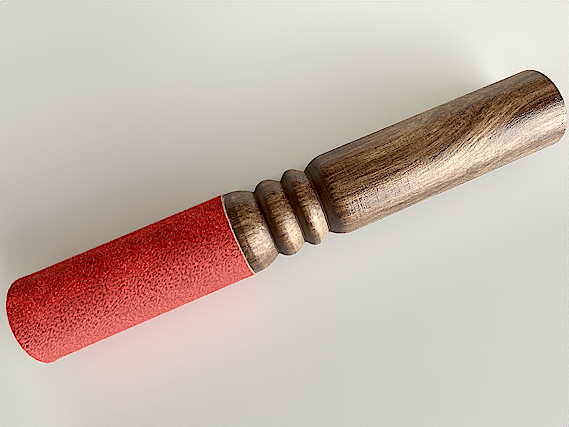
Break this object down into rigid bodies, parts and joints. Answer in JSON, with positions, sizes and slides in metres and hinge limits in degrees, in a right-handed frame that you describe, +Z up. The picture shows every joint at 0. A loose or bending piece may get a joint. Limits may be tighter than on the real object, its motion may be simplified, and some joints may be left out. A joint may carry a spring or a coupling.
{
  "type": "singing bowl mallet",
  "caption": "Turned hardwood mallet with a suede-wrapped striking end, a collar and two beads between deep grooves, and a plain tapering grip.",
  "frame": {"origin": "on the surface the mallet lies on, under the middle of its length", "axes": "+X along the mallet from the striking end to the butt, +Z up, +Y to the side that carries the suede's seam"},
  "size_m": [0.19, 0.031, 0.031],
  "materials": {
    "turned_hardwood": "satin oil over dark and pale streaks, fine open pores",
    "dried_adhesive": "dried contact adhesive, amber, slightly glossy",
    "suede": "napped red suede, matt and fuzzy, pale at its cut edges"
  },
  "bodies": {
    "root": {"turned_body": "turned_hardwood", "adhesive_film": "dried_adhesive", "suede_wrap": "suede"}
  },
  "joints": []
}
